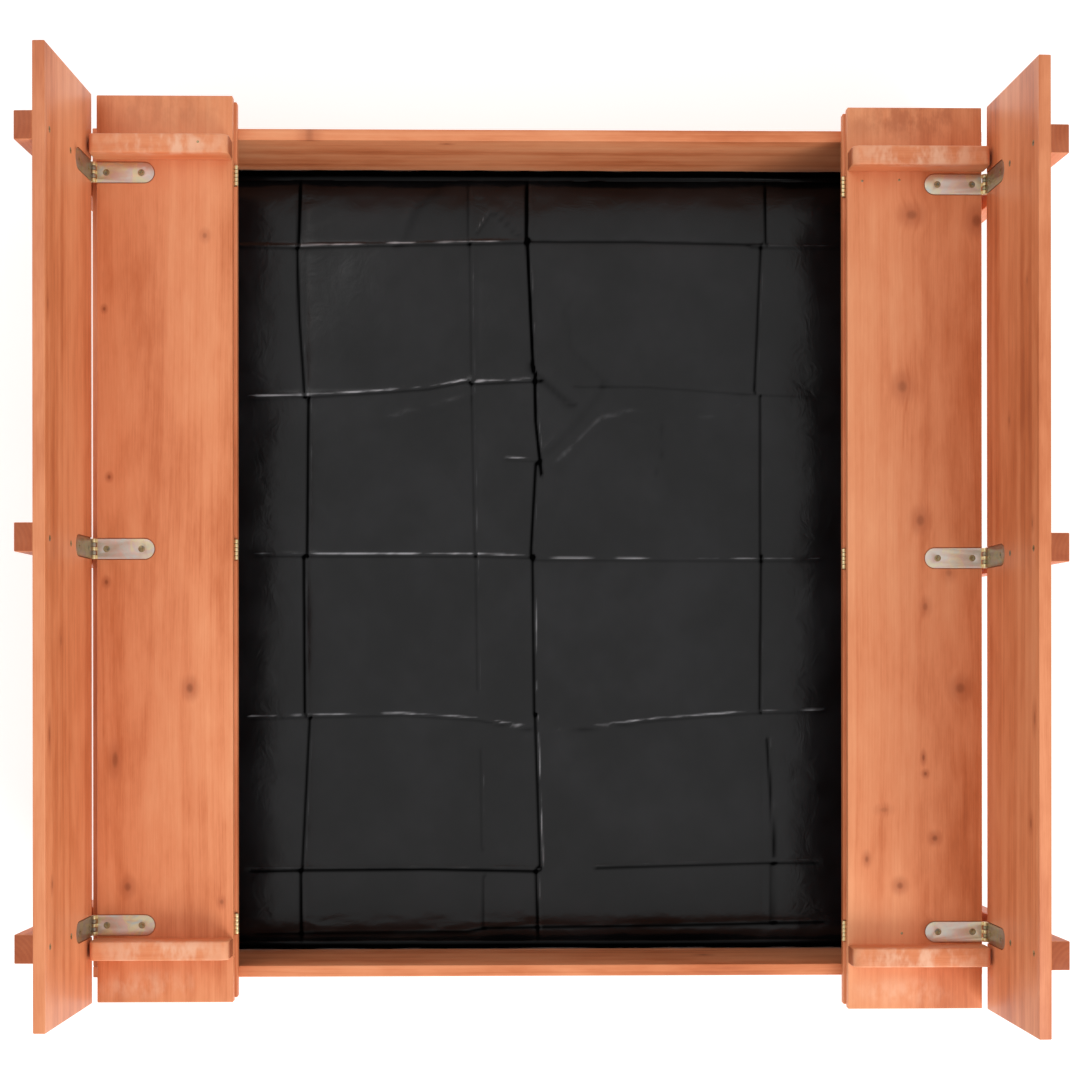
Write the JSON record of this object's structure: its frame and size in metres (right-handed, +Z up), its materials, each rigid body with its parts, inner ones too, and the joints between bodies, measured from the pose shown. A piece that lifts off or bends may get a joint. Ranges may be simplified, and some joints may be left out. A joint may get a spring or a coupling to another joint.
{
  "type": "sandbox with folding bench cover",
  "caption": "Square wooden sandbox with a black ground liner and a two-part hinged cover that unfolds into benches with backrests.",
  "frame": {"origin": "on the ground under the middle of the whole object, with the cover open", "axes": "X across both benches with +X to the right-hand bench, +Y to the rear rail, +Z up"},
  "size_m": [1.0138, 0.9596, 0.3359],
  "materials": {
    "frame_wood": "stained satin softwood",
    "seat_wood": "stained satin softwood",
    "backrest_wood": "stained satin softwood",
    "batten_wood": "stained satin softwood",
    "hinge_leaves": "yellow zinc plated steel",
    "hinge_pins": "yellow zinc plated steel",
    "screws": "yellow zinc plated steel",
    "liner": "satin black sheet with folded creases"
  },
  "bodies": {
    "box": {"front_rail": "frame_wood", "rear_rail": "frame_wood", "left_side_board": "frame_wood", "right_side_board": "frame_wood", "front_left_block": "frame_wood", "front_right_block": "frame_wood", "rear_left_block": "frame_wood", "rear_right_block": "frame_wood", "ground_liner": "liner", "wall_screws": "screws", "left_bench_board": "frame_wood", "left_bench_leaves": "hinge_leaves", "left_bench_leaf_screws": "screws", "left_bench_screws": "screws", "right_bench_board": "frame_wood", "right_bench_leaves": "hinge_leaves", "right_bench_leaf_screws": "screws", "right_bench_screws": "screws"},
    "left_seat": {"left_seat_board": "seat_wood", "left_front_cleat": "batten_wood", "left_rear_cleat": "batten_wood", "left_cleat_screws": "screws", "left_seat_inner_leaves": "hinge_leaves", "left_seat_outer_leaves": "hinge_leaves", "left_seat_leaf_screws": "screws", "left_inner_pins": "hinge_pins"},
    "left_backrest": {"left_backrest_board": "backrest_wood", "left_front_batten": "batten_wood", "left_middle_batten": "batten_wood", "left_rear_batten": "batten_wood", "left_batten_screws": "screws", "left_backrest_leaves": "hinge_leaves", "left_backrest_leaf_screws": "screws", "left_outer_pins": "hinge_pins"},
    "right_seat": {"right_seat_board": "seat_wood", "right_front_cleat": "batten_wood", "right_rear_cleat": "batten_wood", "right_cleat_screws": "screws", "right_seat_inner_leaves": "hinge_leaves", "right_seat_outer_leaves": "hinge_leaves", "right_seat_leaf_screws": "screws", "right_inner_pins": "hinge_pins"},
    "right_backrest": {"right_backrest_board": "backrest_wood", "right_front_batten": "batten_wood", "right_middle_batten": "batten_wood", "right_rear_batten": "batten_wood", "right_batten_screws": "screws", "right_backrest_leaves": "hinge_leaves", "right_backrest_leaf_screws": "screws", "right_outer_pins": "hinge_pins"}
  },
  "joints": [
    {"name": "left_seat_fold", "type": "hinge", "parent": "box", "child": "left_seat", "pos_m": [-0.3212, 0.0048, 0.1503], "axis": [0, 1, 0], "range_deg": [0, 180]},
    {"name": "right_seat_fold", "type": "hinge", "parent": "box", "child": "right_seat", "pos_m": [0.3212, -0.0048, 0.1503], "axis": [0, -1, 0], "range_deg": [0, 180]},
    {"name": "left_backrest_fold", "type": "hinge", "parent": "left_seat", "child": "left_backrest", "pos_m": [-0.4678, 0.0048, 0.1635], "axis": [0, -1, 0], "range_deg": [0, 87.4]},
    {"name": "right_backrest_fold", "type": "hinge", "parent": "right_seat", "child": "right_backrest", "pos_m": [0.4678, -0.0048, 0.1635], "axis": [0, 1, 0], "range_deg": [0, 87.4]}
  ],
  "couplings": [
    {"joint": "left_backrest_fold", "follows": "left_seat_fold", "ratio": 0.4855},
    {"joint": "right_backrest_fold", "follows": "right_seat_fold", "ratio": 0.4855}
  ]
}
